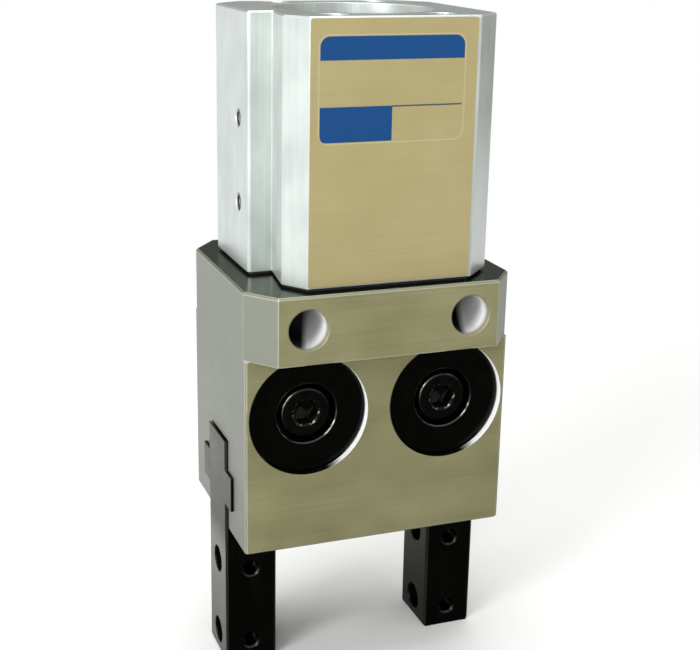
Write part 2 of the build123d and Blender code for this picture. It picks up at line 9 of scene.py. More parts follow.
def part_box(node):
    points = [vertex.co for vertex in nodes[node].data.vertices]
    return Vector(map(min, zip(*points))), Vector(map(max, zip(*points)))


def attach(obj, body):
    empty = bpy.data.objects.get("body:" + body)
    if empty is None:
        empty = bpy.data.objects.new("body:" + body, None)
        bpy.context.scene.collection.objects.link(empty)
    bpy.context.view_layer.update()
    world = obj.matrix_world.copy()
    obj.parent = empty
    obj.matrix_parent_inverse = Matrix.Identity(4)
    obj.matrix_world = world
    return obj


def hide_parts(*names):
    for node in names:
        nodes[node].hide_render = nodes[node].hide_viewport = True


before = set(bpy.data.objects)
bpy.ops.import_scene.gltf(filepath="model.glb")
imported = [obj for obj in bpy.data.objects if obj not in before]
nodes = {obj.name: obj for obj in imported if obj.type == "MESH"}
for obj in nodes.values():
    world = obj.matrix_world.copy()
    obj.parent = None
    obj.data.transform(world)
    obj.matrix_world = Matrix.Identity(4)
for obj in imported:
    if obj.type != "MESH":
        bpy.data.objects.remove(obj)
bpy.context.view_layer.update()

mm = 0.001

# Camera, worked out from about 40 edges of the photograph
camera = {"place": (-0.11699, -0.30643, 0.19288), "yaw": 20.54, "pitch": 16.33, "roll": 0.99,
          "lens": 66.81, "shiftX": 0.0149, "shiftY": -0.0379}


def makeCamera(c):
    yaw, pitch, roll = (math.radians(c[k]) for k in ("yaw", "pitch", "roll"))
    ahead = Vector((math.sin(yaw) * math.cos(pitch), math.cos(yaw) * math.cos(pitch), -math.sin(pitch)))
    right = Vector((math.cos(yaw), -math.sin(yaw), 0))
    up = right.cross(ahead)
    turnedRight = right * math.cos(roll) + up * math.sin(roll)
    turnedUp = up * math.cos(roll) - right * math.sin(roll)
    lensData = bpy.data.cameras.new("photoCamera")
    lensData.lens, lensData.sensor_width = c["lens"], 36
    lensData.shift_x, lensData.shift_y = c["shiftX"], c["shiftY"]
    lensData.clip_start, lensData.clip_end = 0.01, 50
    holder = bpy.data.objects.new("photoCamera", lensData)
    turn = Matrix((turnedRight, turnedUp, -ahead)).transposed().to_4x4()
    holder.matrix_world = Matrix.Translation(c["place"]) @ turn
    bpy.context.scene.collection.objects.link(holder)
    bpy.context.scene.camera = holder


makeCamera(camera)
print("camera set")


# Colours are written as on screen (sRGB) and turned to linear light here
def colour(hexCode):
    parts = [int(hexCode[i:i + 2], 16) / 255 for i in (1, 3, 5)]
    return tuple(p / 12.92 if p <= 0.04045 else ((p + 0.055) / 1.055) ** 2.4 for p in parts) + (1,)


# Adds one node, sets what is given, and links sockets that are given as (node, output)
def add(tree, kind, settings=None, **sockets):
    node = tree.nodes.new("ShaderNode" + kind)
    for name, value in (settings or {}).items():
        setattr(node, name, value)
    for name, value in sockets.items():
        key = int(name[1:]) if name[1:].isdigit() else name.replace("_", " ")
        if isinstance(value, tuple) and isinstance(value[0], bpy.types.Node):
            tree.links.new(value[0].outputs[value[1]], node.inputs[key])
        else:
            node.inputs[key].default_value = value
    return node


def newMaterial(name):
    made = bpy.data.materials.new(name)
    made.use_nodes = True
    made.node_tree.nodes.clear()
    return made, made.node_tree


# Object coordinates stretched so that a noise of scale 1 has its grains at the sizes given, in mm
def grain(tree, sizes, detail=3.0, rough=0.55):
    place = add(tree, "TexCoord")
    fitted = add(tree, "Mapping", i0=(place, "Object"), Scale=tuple(1 / (s * mm) for s in sizes))
    return add(tree, "TexNoise", i0=(fitted, "Vector"), Scale=1.0, Detail=detail, Roughness=rough)


# Object coordinates as X, Y and Z
def placeParts(tree):
    place = add(tree, "TexCoord")
    return add(tree, "SeparateXYZ", None, i0=(place, "Object"))


# Streaks and clouds: the streaks' noise times a weight, plus the clouds' noise, picks the colour between
# dark and light, and the roughness
def streaked(tree, f):
    weight, low, high = f["mix"]
    lines = grain(tree, f["lines"], 4)
    clouds = grain(tree, f["clouds"], f["cloudDetail"])
    both = add(tree, "Math", {"operation": "MULTIPLY_ADD"}, i0=(lines, 0), i1=weight, i2=(clouds, 0))
    share = add(tree, "MapRange", None, Value=(both, 0), From_Min=low, From_Max=high)
    base = add(tree, "Mix", {"data_type": "RGBA"}, i0=(share, 0), i6=colour(f["dark"]), i7=colour(f["light"]))
    rough = add(tree, "MapRange", None, Value=(both, 0), From_Min=0.5, From_Max=1.1,
                To_Min=f["rough"][0], To_Max=f["rough"][1])
    return lines, both, base, rough


# Wear along edges: the bevel node bends the normal near an edge, and its dot product with the true
# normal falls below 1 there
def edgeWear(tree, radius, strength):
    bent = add(tree, "Bevel", {"samples": 6}, Radius=radius * mm)
    true = add(tree, "NewGeometry")
    match = add(tree, "VectorMath", {"operation": "DOT_PRODUCT"}, i0=(bent, "Normal"), i1=(true, "Normal"))
    worn = add(tree, "MapRange", None, Value=(match, "Value"), From_Min=0.995, From_Max=0.90,
               To_Min=0.0, To_Max=strength)
    return worn, bent


# 1 inside a distance from axes that run along Y or X, at both sides of the centre, 0 outside
def nearAxes(tree, across, height, radius, along="Y"):
    parts = placeParts(tree)
    side = add(tree, "Math", {"operation": "ABSOLUTE"}, i0=(parts, "X" if along == "Y" else "Y"))
    flat = add(tree, "CombineXYZ", None, X=(side, 0), Z=(parts, "Z"))
    gap = add(tree, "VectorMath", {"operation": "DISTANCE"}, i0=(flat, 0), i1=(across * mm, 0, height * mm))
    return add(tree, "Math", {"operation": "LESS_THAN"}, i0=(gap, "Value"), i1=radius * mm)


# 1 inside any of several such holes
def inHoles(tree, holes, along="Y"):
    found = nearAxes(tree, *holes[0], along)
    for hole in holes[1:]:
        other = nearAxes(tree, *hole, along)
        found = add(tree, "Math", {"operation": "MAXIMUM"}, i0=(found, 0), i1=(other, 0))
    return found


# A wave texture of scale 1 has a band every 0.314 units
bandSpacing = 0.314


# Thread grooves inside holes: bands across the hole's axis, one for each turn, as tall as the holes' mask
def threadRelief(tree, inside, along, pitch, depth, normal):
    place = add(tree, "TexCoord")
    bands = add(tree, "TexWave", {"bands_direction": along}, Vector=(place, "Object"),
                Scale=bandSpacing / (pitch * mm))
    height = add(tree, "Math", {"operation": "MULTIPLY"}, i0=(bands, "Fac"), i1=(inside, 0))
    return add(tree, "Bump", None, Strength=1.0, Distance=depth * mm, Height=(height, 0), Normal=normal)


# How far the surface faces along an axis, either way: the size of that part of its own normal
def towards(tree, axis):
    true = add(tree, "NewGeometry")
    own = add(tree, "VectorTransform", {"vector_type": "NORMAL", "convert_from": "WORLD",
              "convert_to": "OBJECT"}, i0=(true, "Normal"))
    parts = add(tree, "SeparateXYZ", None, i0=(own, 0))
    return add(tree, "Math", {"operation": "ABSOLUTE"}, i0=(parts, axis))


# 1 where the surface faces along an axis by more than about 45 degrees
def facing(tree, axis):
    return add(tree, "MapRange", None, Value=(towards(tree, axis), 0), From_Min=0.6, From_Max=0.8)


# 1 on chamfers and rounded edges, which face between the axis and square to it, 0 on the faces beside them
def slanted(tree, axis):
    return add(tree, "Math", {"operation": "COMPARE"}, i0=(towards(tree, axis), 0), i1=0.7, i2=0.16)


def finishShader(tree, base, rough, normal, **fixed):
    shader = add(tree, "BsdfPrincipled", None, Base_Color=base, Roughness=rough, Normal=normal, **fixed)
    add(tree, "OutputMaterial", None, Surface=(shader, "BSDF"))


# Anodised aluminium extrusion: drawn through a die, etched satin and given a clear oxide, so the eye
# gets faint upright die lines, soft cloudy patches, brighter rubbed edges and a top darker as painted shade.
# Die lines are about 0.1 mm apart in truth, drawn 0.6 mm apart to show.
tubeFinish = {"dark": "#BEC5C2", "light": "#D6DCD9", "edge": "#F2F5F3", "top": "#9EA5A2", "thread": "#7C807C",
              "lines": (0.6, 0.6, 50), "clouds": (9, 9, 16), "cloudDetail": 2, "mix": (0.6, 0.55, 1.05),
              "metallic": 0.65, "rough": (0.30, 0.42), "wear": (0.35, 0.8), "relief": (0.25, 0.02),
              "ports": [(0, 124.5, 2.15), (0, 145.5, 2.15)], "pitch": 0.8, "grooves": 0.35}


def anodisedExtrusion(f):
    made, t = newMaterial("anodised_aluminium_extruded")
    lines, _, base, rough = streaked(t, f)
    worn, bent = edgeWear(t, *f["wear"])
    # The top face's colour is darker, which is painted shade
    level = facing(t, "Z")
    shadedTop = add(t, "Mix", {"data_type": "RGBA"}, i0=(level, 0), i6=(base, 2), i7=colour(f["top"]))
    edged = add(t, "Mix", {"data_type": "RGBA"}, i0=(worn, 0), i6=(shadedTop, 2), i7=colour(f["edge"]))
    # The ports are on the left side only
    left = add(t, "Math", {"operation": "LESS_THAN"}, i0=(placeParts(t), "X"), i1=0.0)
    ports = inHoles(t, f["ports"], "X")
    tapped = add(t, "Math", {"operation": "MULTIPLY"}, i0=(ports, 0), i1=(left, 0))
    shown = add(t, "Mix", {"data_type": "RGBA"}, i0=(tapped, 0), i6=(edged, 2), i7=colour(f["thread"]))
    relief = add(t, "Bump", None, Strength=f["relief"][0], Distance=f["relief"][1] * mm, Height=(lines, 0),
                 Normal=(bent, "Normal"))
    grooved = threadRelief(t, tapped, "X", f["pitch"], f["grooves"], (relief, "Normal"))
    finishShader(t, (shown, 2), (rough, 0), (grooved, "Normal"), Metallic=f["metallic"])
    return made


# Hard anodised aluminium, milled first: olive-grey oxide with faint level cutter lines on the front and
# back, greyer ends as painted sheen, a glossier top darkened as painted shade, pale edges partly rubbed
# and partly a painted highlight, and painted light and painted shade on the walls of holes and recesses.
# The cutter lines are 0.2 mm apart in truth, drawn 0.7 mm apart to show.
bodyFinish = {"dark": "#827F5B", "light": "#989470", "end": "#83877E", "top": "#6E746A", "edge": "#DDDFD4",
              # The white and the near black on this line are painted light and painted shade on hole and
              # recess walls
              "bore": "#FFFFFF", "lip": "#8E8B72", "deep": "#050504", "lines": (45, 0.7, 0.7),
              "clouds": (22, 22, 14), "cloudDetail": 2, "mix": (0.5, 0.5, 1.0), "metallic": 0.35,
              "rough": (0.34, 0.46), "topRough": 0.22, "boreRough": 0.5, "grazing": 0.62,
              "wear": (0.45, 0.85), "relief": (0.3, 0.03), "holeAxis": (21.1, 99.1, 5.1),
              "capAxis": (18.5, 74.8, 15.52), "mouths": [(21.1, 99.1, 5.7), (18.5, 74.8, 16.2)],
              "lipTo": (0.6, 2.6), "shade": (2.9, 3.6, 2.4), "capLightFrom": (5.0, 9.0), "capLightDeep": -21.9}


def hardAnodisedMilled(f):
    made, t = newMaterial("hard_anodised_aluminium_milled")
    lines, _, base, rough = streaked(t, f)
    # Faces along X get a greyer colour, which is painted sheen
    ends = add(t, "Mix", {"data_type": "RGBA"}, i0=(facing(t, "X"), 0), i6=(base, 2), i7=colour(f["end"]))
    # The top faces' colour is darker, which is painted shade
    level = facing(t, "Z")
    shadedTops = add(t, "Mix", {"data_type": "RGBA"}, i0=(level, 0), i6=(ends, 2), i7=colour(f["top"]))
    # Edges are paled, partly as rubbed wear and partly as a painted highlight
    worn, bent = edgeWear(t, *f["wear"])
    mouths = inHoles(t, f["mouths"])
    wearAndHighlight = add(t, "Math", {"operation": "SUBTRACT", "use_clamp": True}, i0=(worn, 0), i1=(mouths, 0))
    edged = add(t, "Mix", {"data_type": "RGBA"}, i0=(wearAndHighlight, 0), i6=(shadedTops, 2), i7=colour(f["edge"]))
    parts = placeParts(t)
    side = add(t, "Math", {"operation": "SIGN"}, i0=(parts, "X"))
    # The mount holes' walls carry painted light, pale, behind an oxidised lip, and painted shade, near black,
    # past a slanting line, which is the depth less slope times the distance to the right of the hole's axis.
    # The line's place and slope come from the photograph's view, where the dark may be a reflection. The
    # walls are drawn matt, so that the light from the mouth shows on them
    holes = nearAxes(t, *f["holeAxis"])
    slope, start, soft = f["shade"]
    axis = add(t, "Math", {"operation": "MULTIPLY"}, i0=(side, 0), i1=f["holeAxis"][0] * mm)
    beside = add(t, "Math", {"operation": "SUBTRACT"}, i0=(parts, "X"), i1=(axis, 0))
    depth = add(t, "Math", {"operation": "SUBTRACT"}, i0=(parts, "Y"), i1=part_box("gripper_body")[0][1])
    line = add(t, "Math", {"operation": "MULTIPLY_ADD"}, i0=(beside, 0), i1=-slope, i2=(depth, 0))
    shaded = add(t, "MapRange", None, Value=(line, 0), From_Min=(start - soft) * mm,
               From_Max=(start + soft) * mm)
    inside = add(t, "MapRange", None, Value=(depth, 0), From_Min=f["lipTo"][0] * mm,
                 From_Max=f["lipTo"][1] * mm)
    lightAndShade = add(t, "Mix", {"data_type": "RGBA"}, i0=(shaded, 0), i6=colour(f["bore"]), i7=colour(f["deep"]))
    holeWalls = add(t, "Mix", {"data_type": "RGBA"}, i0=(inside, 0), i6=colour(f["lip"]), i7=(lightAndShade, 2))
    # The caps' recesses get a pale painted highlight on their right near the front, placed by the
    # photograph's view as well
    middle = add(t, "Math", {"operation": "MULTIPLY"}, i0=(side, 0), i1=f["capAxis"][0] * mm)
    right = add(t, "Math", {"operation": "SUBTRACT"}, i0=(parts, "X"), i1=(middle, 0))
    rightward = add(t, "MapRange", None, Value=(right, 0), From_Min=f["capLightFrom"][0] * mm,
                    From_Max=f["capLightFrom"][1] * mm)
    near = add(t, "Math", {"operation": "LESS_THAN"}, i0=(parts, "Y"), i1=f["capLightDeep"] * mm)
    caps = nearAxes(t, *f["capAxis"])
    frontCapWalls = add(t, "Math", {"operation": "MULTIPLY"}, i0=(caps, 0), i1=(near, 0))
    litCapWalls = add(t, "Math", {"operation": "MULTIPLY"}, i0=(frontCapWalls, 0), i1=(rightward, 0))
    recessed = add(t, "Mix", {"data_type": "RGBA"}, i0=(litCapWalls, 0), i6=(edged, 2), i7=colour(f["bore"]))
    paintedWalls = add(t, "Mix", {"data_type": "RGBA"}, i0=(holes, 0), i6=(recessed, 2), i7=(holeWalls, 2))
    bored = add(t, "Math", {"operation": "MAXIMUM"}, i0=(litCapWalls, 0), i1=(holes, 0))
    topRough = add(t, "Mix", None, i0=(level, 0), i2=(rough, 0), i3=f["topRough"])
    boreRough = add(t, "Mix", None, i0=(bored, 0), i2=(topRough, 0), i3=f["boreRough"])
    topMetal = add(t, "Math", {"operation": "MAXIMUM"}, i0=(level, 0), i1=f["metallic"])
    metal = add(t, "Mix", None, i0=(bored, 0), i2=(topMetal, 0), i3=0.0)
    relief = add(t, "Bump", None, Strength=f["relief"][0], Distance=f["relief"][1] * mm, Height=(lines, 0),
                 Normal=(bent, "Normal"))
    finishShader(t, (paintedWalls, 2), (boreRough, 0), (relief, "Normal"), Metallic=(metal, 0),
                 Specular_Tint=(f["grazing"],) * 3 + (1,))
    return made


# Foil name plate: brushed aluminium foil under a khaki tinted lacquer, screen printed in blue. The
# brushing is level and too fine to show, so it is drawn 0.5 mm apart.
plateFinish = {"dark": "#A4986B", "light": "#AEA276", "blue": "#0E467E", "rule": "#3D4A5A", "line": "#B9AF86",
               "lines": (30, 0.5, 0.5), "clouds": (18, 18, 18), "cloudDetail": 2, "mix": (0.5, 0.5, 1.0),
               "rough": (0.37, 0.48), "relief": (0.2, 0.015), "lineWidth": (0.22, 0.08),
               "panel": (-18.2, 17.7, 161.9, 167.3, 2.4), "block": (-18.2, -0.3, 143.1, 151.3, 1.5),
               "frame": (-18.5, 18.0, 142.8, 167.6, 2.6), "ruleAt": (-0.3, 17.4, 151.0, 151.35, 0.05)}


# Distance in X and Z to a rectangle with rounded corners, below 0 inside it: the length of what is left
# of the distance to its middle once half its sides less the radius is taken off, less the radius
def roundedDistance(tree, left, right, low, high, radius):
    place = add(tree, "TexCoord")
    middle = ((left + right) / 2 * mm, 0, (low + high) / 2 * mm)
    half = ((right - left) / 2 * mm - radius * mm, 1, (high - low) / 2 * mm - radius * mm)
    moved = add(tree, "VectorMath", {"operation": "SUBTRACT"}, i0=(place, "Object"), i1=middle)
    away = add(tree, "VectorMath", {"operation": "ABSOLUTE"}, i0=(moved, 0))
    past = add(tree, "VectorMath", {"operation": "SUBTRACT"}, i0=(away, 0), i1=half)
    kept = add(tree, "VectorMath", {"operation": "MAXIMUM"}, i0=(past, 0), i1=(0, 0, 0))
    length = add(tree, "VectorMath", {"operation": "LENGTH"}, i0=(kept, 0))
    return add(tree, "Math", {"operation": "SUBTRACT"}, i0=(length, "Value"), i1=radius * mm)


def printedFoil(f):
    made, t = newMaterial("printed_foil_name_plate")
    lines, _, base, rough = streaked(t, f)
    parts = placeParts(t)
    # A thin pale line round the printed field
    rim = roundedDistance(t, *f["frame"])
    size = add(t, "Math", {"operation": "ABSOLUTE"}, i0=(rim, 0))
    ringed = add(t, "MapRange", None, Value=(size, 0), From_Min=f["lineWidth"][0] * mm,
                 From_Max=f["lineWidth"][1] * mm)
    lined = add(t, "Mix", {"data_type": "RGBA"}, i0=(ringed, 0), i6=(base, 2), i7=colour(f["line"]))
    # The panel is round at its top corners only, so its outline runs on below and is cut level
    left, right, low, high, radius = f["panel"]
    panel = roundedDistance(t, left, right, low - 10, high, radius)
    inPanel = add(t, "Math", {"operation": "LESS_THAN"}, i0=(panel, 0), i1=0.0)
    overLow = add(t, "Math", {"operation": "GREATER_THAN"}, i0=(parts, "Z"), i1=low * mm)
    top = add(t, "Math", {"operation": "MULTIPLY"}, i0=(inPanel, 0), i1=(overLow, 0))
    # The block is round at its lower left corner only
    left, right, low, high, radius = f["block"]
    block = roundedDistance(t, left, right + 10, low, high + 10, radius)
    inBlock = add(t, "Math", {"operation": "LESS_THAN"}, i0=(block, 0), i1=0.0)
    before = add(t, "Math", {"operation": "LESS_THAN"}, i0=(parts, "X"), i1=right * mm)
    below = add(t, "Math", {"operation": "LESS_THAN"}, i0=(parts, "Z"), i1=high * mm)
    cut = add(t, "Math", {"operation": "MULTIPLY"}, i0=(before, 0), i1=(below, 0))
    corner = add(t, "Math", {"operation": "MULTIPLY"}, i0=(inBlock, 0), i1=(cut, 0))
    ink = add(t, "Math", {"operation": "MAXIMUM"}, i0=(top, 0), i1=(corner, 0))
    rule = roundedDistance(t, *f["ruleAt"])
    onRule = add(t, "Math", {"operation": "LESS_THAN"}, i0=(rule, 0), i1=0.0)
    ruled = add(t, "Mix", {"data_type": "RGBA"}, i0=(onRule, 0), i6=(lined, 2), i7=colour(f["rule"]))
    inked = add(t, "Mix", {"data_type": "RGBA"}, i0=(ink, 0), i6=(ruled, 2), i7=colour(f["blue"]))
    relief = add(t, "Bump", None, Strength=f["relief"][0], Distance=f["relief"][1] * mm, Height=(lines, 0))
    finishShader(t, (inked, 2), (rough, 0), (relief, "Normal"), Metallic=0.2, Specular_IOR_Level=0.25)
    return made


# Black oxide steel, surface ground: near black with faint grinding lines, bare at rubbed edges, side faces
# paler as painted light, ground bright on the outer end faces after blackening with the slider's end darker
# as painted shade, and smooth in the tapped holes, which glint. Grinding lines are drawn 0.5 mm apart.
jawFinish = {"dark": "#050504", "light": "#0B0B09", "bright": "#92958F", "slider": "#4B4E49",
             "inner": "#3C3D39", "edge": "#4A4A46", "thread": "#30302C", "lines": (0.5, 14, 30),
             "clouds": (6, 6, 9), "cloudDetail": 3, "mix": (0.6, 0.55, 1.1), "rough": (0.28, 0.42),
             "threadRough": 0.14, "wear": (0.25, 0.6), "relief": (0.3, 0.02), "outer": 35.72,
             "sliderFrom": (31.4, 39.4), "pitch": 0.8, "grooves": 0.12,
             "threads": [(28.85, 5.7, 2.65), (28.85, 27.1, 2.65)],
             "bores": [(0, 5.7, 3.85), (0, 27.1, 3.85)], "threadFrom": -3.6}


def blackOxideGround(f):
    made, t = newMaterial("black_oxide_steel_ground")
    lines, both, base, rough = streaked(t, f)
    worn, bent = edgeWear(t, *f["wear"])
    parts = placeParts(t)
    bored = inHoles(t, f["bores"], "X")
    # Faces along X, outside the bores, are paler, which is painted light
    flat = add(t, "Math", {"operation": "SUBTRACT", "use_clamp": True}, i0=(facing(t, "X"), 0), i1=(bored, 0))
    litSides = add(t, "Mix", {"data_type": "RGBA"}, i0=(flat, 0), i6=(base, 2), i7=colour(f["inner"]))
    edged = add(t, "Mix", {"data_type": "RGBA"}, i0=(worn, 0), i6=(litSides, 2), i7=colour(f["edge"]))
    # The outer end faces are ground; the slider's is darker than the finger's, which is painted shade under
    # the body
    side = add(t, "Math", {"operation": "ABSOLUTE"}, i0=(parts, "X"))
    outer = add(t, "Math", {"operation": "GREATER_THAN"}, i0=(side, 0), i1=f["outer"] * mm)
    patch = add(t, "MapRange", None, Value=(both, 0), From_Min=0.4, From_Max=1.2, To_Min=0.75, To_Max=1.0)
    ground = add(t, "Math", {"operation": "MULTIPLY"}, i0=(outer, 0), i1=(patch, 0))
    above = add(t, "MapRange", None, Value=(parts, "Z"), From_Min=f["sliderFrom"][0] * mm,
                From_Max=f["sliderFrom"][1] * mm)
    tone = add(t, "Mix", {"data_type": "RGBA"}, i0=(above, 0), i6=colour(f["bright"]), i7=colour(f["slider"]))
    shown = add(t, "Mix", {"data_type": "RGBA"}, i0=(ground, 0), i6=(edged, 2), i7=(tone, 2))
    # Threads tapped from the front
    front = add(t, "Math", {"operation": "LESS_THAN"}, i0=(parts, "Y"), i1=f["threadFrom"] * mm)
    holes = inHoles(t, f["threads"])
    tapped = add(t, "Math", {"operation": "MULTIPLY"}, i0=(front, 0), i1=(holes, 0))
    cut = add(t, "Mix", {"data_type": "RGBA"}, i0=(tapped, 0), i6=(shown, 2), i7=colour(f["thread"]))
    metal = add(t, "MapRange", None, Value=(tapped, 0), To_Min=0.6, To_Max=1.0)
    cutRough = add(t, "Mix", None, i0=(tapped, 0), i2=(rough, 0), i3=f["threadRough"])
    relief = add(t, "Bump", None, Strength=f["relief"][0], Distance=f["relief"][1] * mm, Height=(lines, 0),
                 Normal=(bent, "Normal"))
    grooved = threadRelief(t, tapped, "Y", f["pitch"], f["grooves"], (relief, "Normal"))
    finishShader(t, (cut, 2), (cutRough, 0), (grooved, "Normal"), Metallic=(metal, 0), Specular_IOR_Level=0.2)
    return made


# A finish with fine grain and worn edges, for the plainer pieces; spots gives the size of its grain, and
# chamfered the axis whose chamfers are rubbed bare
def grained(name, dark, light, edge, spots, rough, metallic, relief, wear=0.7, chamfered=None, **fixed):
    made, t = newMaterial(name)
    fine = grain(t, spots, 4)
    share = add(t, "MapRange", None, Value=(fine, 0), From_Min=0.3, From_Max=0.7)
    base = add(t, "Mix", {"data_type": "RGBA"}, i0=(share, 0), i6=colour(dark), i7=colour(light))
    worn, bent = edgeWear(t, 0.2, wear)
    if chamfered:
        worn = add(t, "Math", {"operation": "MAXIMUM"}, i0=(worn, 0), i1=(slanted(t, chamfered), 0))
    edged = add(t, "Mix", {"data_type": "RGBA"}, i0=(worn, 0), i6=(base, 2), i7=colour(edge))
    metal = add(t, "MapRange", None, Value=(worn, 0), To_Min=metallic, To_Max=1.0)
    shine = add(t, "MapRange", None, Value=(fine, 0), From_Min=0.3, From_Max=0.7,
                To_Min=rough - 0.05, To_Max=rough + 0.05)
    bumps = add(t, "Bump", None, Strength=0.3, Distance=relief * mm, Height=(fine, 0),
                Normal=(bent, "Normal"))
    finishShader(t, (edged, 2), (shine, 0), (bumps, "Normal"), Metallic=(metal, 0), **fixed)
    return made


# A face turned on a lathe: rings about an axis along Z, spaced by the feed of the tool
def latheTurned(name, dark, light, edge, feed, rough, metallic):
    made, t = newMaterial(name)
    place = add(t, "TexCoord")
    rings = add(t, "TexWave", {"wave_type": "RINGS", "rings_direction": "Z"}, Vector=(place, "Object"),
                Scale=bandSpacing / (feed * mm), Distortion=0.4, Detail=2.0)
    share = add(t, "MapRange", None, Value=(rings, "Fac"), To_Min=0.1, To_Max=0.9)
    base = add(t, "Mix", {"data_type": "RGBA"}, i0=(share, 0), i6=colour(dark), i7=colour(light))
    worn, bent = edgeWear(t, 0.25, 0.7)
    edged = add(t, "Mix", {"data_type": "RGBA"}, i0=(worn, 0), i6=(base, 2), i7=colour(edge))
    relief = add(t, "Bump", None, Strength=0.35, Distance=0.02 * mm, Height=(rings, "Fac"),
                 Normal=(bent, "Normal"))
    finishShader(t, (edged, 2), rough, (relief, "Normal"), Metallic=metallic)
    return made


finishes = {
    "tube": anodisedExtrusion(tubeFinish),
    "body": hardAnodisedMilled(bodyFinish),
    "plate": printedFoil(plateFinish),
    "jaw": blackOxideGround(jawFinish),
    # Gloss black anodised caps, turned and then dyed: deep black with a few thin bright edges
    "cap": grained("gloss_black_anodised_cap", "#020202", "#050504", "#4A4A46", (3, 3, 3), 0.14, 0.0, 0.004,
                   0.1, "Y", Specular_IOR_Level=0.12),
    # Oiled black oxide screws: black with a soft shine
    "screw": grained("black_oxide_screw_oiled", "#0A0A09", "#161614", "#6A6A65", (0.8, 0.8, 0.8), 0.14, 0.7,
                     0.008, 0.1, "Y", Specular_IOR_Level=0.3),
    "longScrew": grained("black_oxide_long_screw_oiled", "#0A0A09", "#161614", "#6A6A64", (0.8, 0.8, 0.8),
                         0.25, 0.7, 0.008, 0.2, "Z", Specular_IOR_Level=0.3),
    # Ground bearing steel: bright grey with a fine cross grain
    "steel": grained("ground_bearing_steel", "#8E9294", "#B9BDBF", "#E4E6E7", (0.6, 0.6, 6), 0.28, 1.0, 0.01),
    # Phosphated spring steel: dark grey, slightly blotched
    "spring": grained("phosphated_spring_steel", "#33342F", "#54554E", "#8C8D85", (1.2, 1.2, 1.2), 0.45, 0.8,
                      0.015),
    # Oil filled sintered bronze: brown-gold with small dark pores
    "bronze": grained("sintered_bronze_bush", "#7A5A2C", "#B08A4C", "#D2AE72", (0.5, 0.5, 0.5), 0.45, 0.9,
                      0.02),
    # Moulded nitrile rubber: matt black with a faint bloom
    "rubber": grained("moulded_nitrile_rubber", "#0D0D0D", "#1C1C1C", "#2A2A2A", (1, 1, 1), 0.7, 0.0, 0.02),
    # Bonded ferrite magnet: dark grey and chalky
    "magnet": grained("bonded_ferrite_magnet", "#2A2A2C", "#3C3C3E", "#55555A", (0.7, 0.7, 0.7), 0.6, 0.2,
                      0.01),
    "turned": latheTurned("turned_aluminium_clear_anodised", "#B4B9B7", "#D5D9D7", "#F0F2F1", 0.5, 0.3, 0.9),
}
wears = {
    "tube": ["cylinder_tube"], "body": ["gripper_body"], "plate": ["name_plate"],
    "jaw": ["left_jaw", "right_jaw"], "cap": ["left_pinion_cap", "right_pinion_cap"],
    "screw": ["left_cap_screw", "right_cap_screw"], "longScrew": ["tube_screws", "piston_screw"],
    "steel": ["piston_rod", "left_pinion", "right_pinion", "left_pinion_shaft", "right_pinion_shaft"],
    "spring": ["retaining_ring"],
    "bronze": ["rod_bush", "left_pinion_bush", "right_pinion_bush", "left_thrust_washers",
               "right_thrust_washers"],
    "rubber": ["body_gasket", "cover_o_ring", "end_cap_o_ring", "rod_seal", "piston_seal", "lower_bumper",
               "upper_bumper"],
    "magnet": ["piston_magnet"], "turned": ["end_cap", "rod_cover", "piston"],
}
for finish, names in wears.items():
    for name in names:
        for slot in nodes[name].material_slots:
            slot.material = finishes[finish]
print("finishes given to", sum(len(names) for names in wears.values()), "of", len(nodes), "nodes")


# Faces of a grid of points (rows, columns, 3); joined runs from the last column on to the first, and the
# ends are closed by one point each where they are given
def gridFaces(points, joined=True, firstEnd=None, lastEnd=None):
    rows, columns = points.shape[:2]
    index = np.arange(rows * columns).reshape(rows, columns)
    after = np.roll(index, -1, 1) if joined else index[:, 1:]
    here = index if joined else index[:, :-1]
    faces = np.stack([here[:-1], after[:-1], after[1:], here[1:]], -1).reshape(-1, 4).tolist()
    flat = points.reshape(-1, 3)
    for end, row, flip in ((firstEnd, 0, True), (lastEnd, rows - 1, False)):
        if end is not None:
            flat = np.vstack([flat, np.array(end)[None]])
            a, b = here[row], after[row]
            first, second = (b, a) if flip else (a, b)
            faces += np.stack([first, second, np.full(len(a), len(flat) - 1)], -1).tolist()
    return flat, faces


# One mesh from several such grids, with its faces turned outwards
def gridMesh(name, grids):
    points, faces, count = [], [], 0
    for flat, found in grids:
        points.append(flat)
        faces += [[corner + count for corner in face] for face in found]
        count += len(flat)
    mesh = bpy.data.meshes.new(name)
    mesh.from_pydata(np.vstack(points).tolist(), [], faces)
    shape = bmesh.new()
    shape.from_mesh(mesh)
    bmesh.ops.recalc_face_normals(shape, faces=shape.faces)
    shape.to_mesh(mesh)
    shape.free()
    piece = bpy.data.objects.new(name, mesh)
    bpy.context.scene.collection.objects.link(piece)
    return piece


# Socket head screws. The radius of each row is a circle; in the socket it is a hexagon, the distance to
# its flats over the cosine of the angle to the nearest flat's middle; on the head's side it dips at each
# knurl as a triangle wave of the angle; and on the thread it dips as a triangle wave of height over pitch
# plus angle over a turn, which is a helix.
# mouth is the socket's mouth as a share of the flats' distance, coreDepth the thread's depth as a share
# of its pitch.
capScrew = {"columns": 288, "length": 20.0, "head": 13.0, "headHeight": 8.0, "socket": 6.0, "deep": 4.0,
            "mouth": 1.22, "round": 0.8, "knurls": 48, "knurlDepth": 0.16, "thread": 8.0,
            "threadLength": 15.0, "pitch": 1.25, "coreDepth": 0.61}
longScrew = {"columns": 72, "length": 68.1, "head": 7.0, "headHeight": 4.0, "socket": 3.0, "deep": 2.2,
             "mouth": 1.22, "round": 0.28, "knurls": 36, "knurlDepth": 0.1, "thread": 4.0,
             "threadLength": 12.0, "pitch": 0.7, "coreDepth": 0.61}


# A triangle wave between 0 and 1, once a turn
def wave(turns):
    return np.abs((turns % 1) * 2 - 1)


